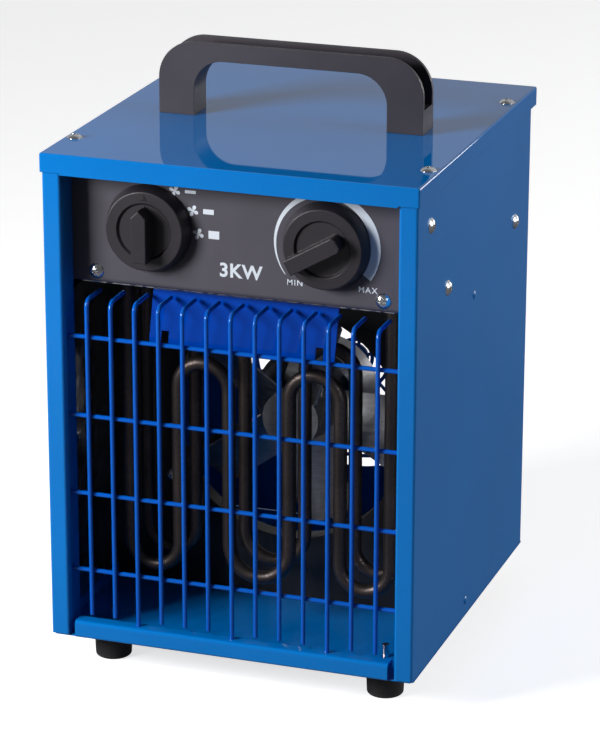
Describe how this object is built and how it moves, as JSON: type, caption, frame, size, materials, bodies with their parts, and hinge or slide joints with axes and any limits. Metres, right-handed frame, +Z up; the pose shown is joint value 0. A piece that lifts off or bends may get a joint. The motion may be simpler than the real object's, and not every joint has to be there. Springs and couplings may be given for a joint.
{
  "type": "portable fan heater",
  "caption": "Upright box-shaped portable electric fan heater: folded sheet-steel case, wire front grille, recessed control panel with knobs, moulded carry handle and rubber feet.",
  "frame": {"origin": "on the floor, under the middle of the heater", "axes": "+Z up, +X to the right seen from the front, the grille and knobs face -Y"},
  "size_m": [0.2248, 0.239, 0.356],
  "materials": {
    "blue_steel": "gloss powder coat",
    "panel_grey": "satin dark grey powder coat",
    "black_plastic": "satin moulded",
    "black_rubber": "matt",
    "zinc": "bright zinc plate",
    "heat_tube": "oxidised sheath",
    "galvanised": "galvanised",
    "aluminium": "pressed",
    "dark_steel": "black stove enamel",
    "motor_steel": "laminated",
    "ceramic": "glazed",
    "nylon": "moulded",
    "brass": "plated",
    "copper": "drawn"
  },
  "bodies": {
    "case": {"base_pan": "blue_steel", "left_side_panel": "blue_steel", "right_side_panel": "blue_steel", "top_cover": "blue_steel", "rear_panel": "blue_steel", "rear_guard": "blue_steel", "front_grille": "blue_steel", "control_panel": "panel_grey", "air_deflector": "blue_steel", "divider_shelf": "galvanised", "left_heat_shield": "galvanised", "right_heat_shield": "galvanised", "fan_shroud": "dark_steel", "front_heating_element": "heat_tube", "rear_heating_element": "heat_tube", "ceramic_bushes": "ceramic", "element_terminals": "zinc", "motor_stator": "motor_steel", "motor_rear_cap": "zinc", "motor_bracket": "zinc", "motor_pillars": "zinc", "motor_screws": "zinc", "shroud_screws": "zinc", "rotary_switch_body": "nylon", "rotary_switch_nut": "zinc", "thermostat_body": "zinc", "thermostat_nut": "zinc", "thermostat_bulb": "copper", "bulb_clips": "zinc", "handle": "black_plastic", "front_left_foot": "black_rubber", "front_right_foot": "black_rubber", "rear_left_foot": "black_rubber", "rear_right_foot": "black_rubber", "foot_screws": "zinc", "cover_screws": "zinc", "left_side_screws": "zinc", "right_side_screws": "zinc", "left_side_rivets": "blue_steel", "right_side_rivets": "blue_steel", "panel_screws": "zinc", "handle_screws": "zinc", "rear_screws": "zinc", "guard_screws": "zinc", "thermal_cutout": "nylon", "terminal_block": "nylon", "terminal_screws": "brass", "cable_gland": "black_plastic", "gland_nut": "black_plastic"},
    "switch": {"switch_knob": "black_plastic", "rotary_switch_spindle": "zinc"},
    "thermostat": {"thermostat_knob": "black_plastic", "thermostat_spindle": "zinc"},
    "fan": {"fan_impeller": "aluminium", "motor_rotor": "motor_steel"}
  },
  "joints": [
    {"name": "switch_turn", "type": "hinge", "parent": "case", "child": "switch", "pos_m": [-0.0525, -0.1013, 0.2697], "axis": [0, 1, 0], "range_deg": [0, 90]},
    {"name": "thermostat_turn", "type": "hinge", "parent": "case", "child": "thermostat", "pos_m": [0.0525, -0.1013, 0.2697], "axis": [0, 1, 0], "range_deg": [0, 245]},
    {"name": "fan_spin", "type": "hinge", "parent": "case", "child": "fan", "pos_m": [0, 0.0005, 0.1315], "axis": [0, 1, 0], "continuous": true}
  ]
}
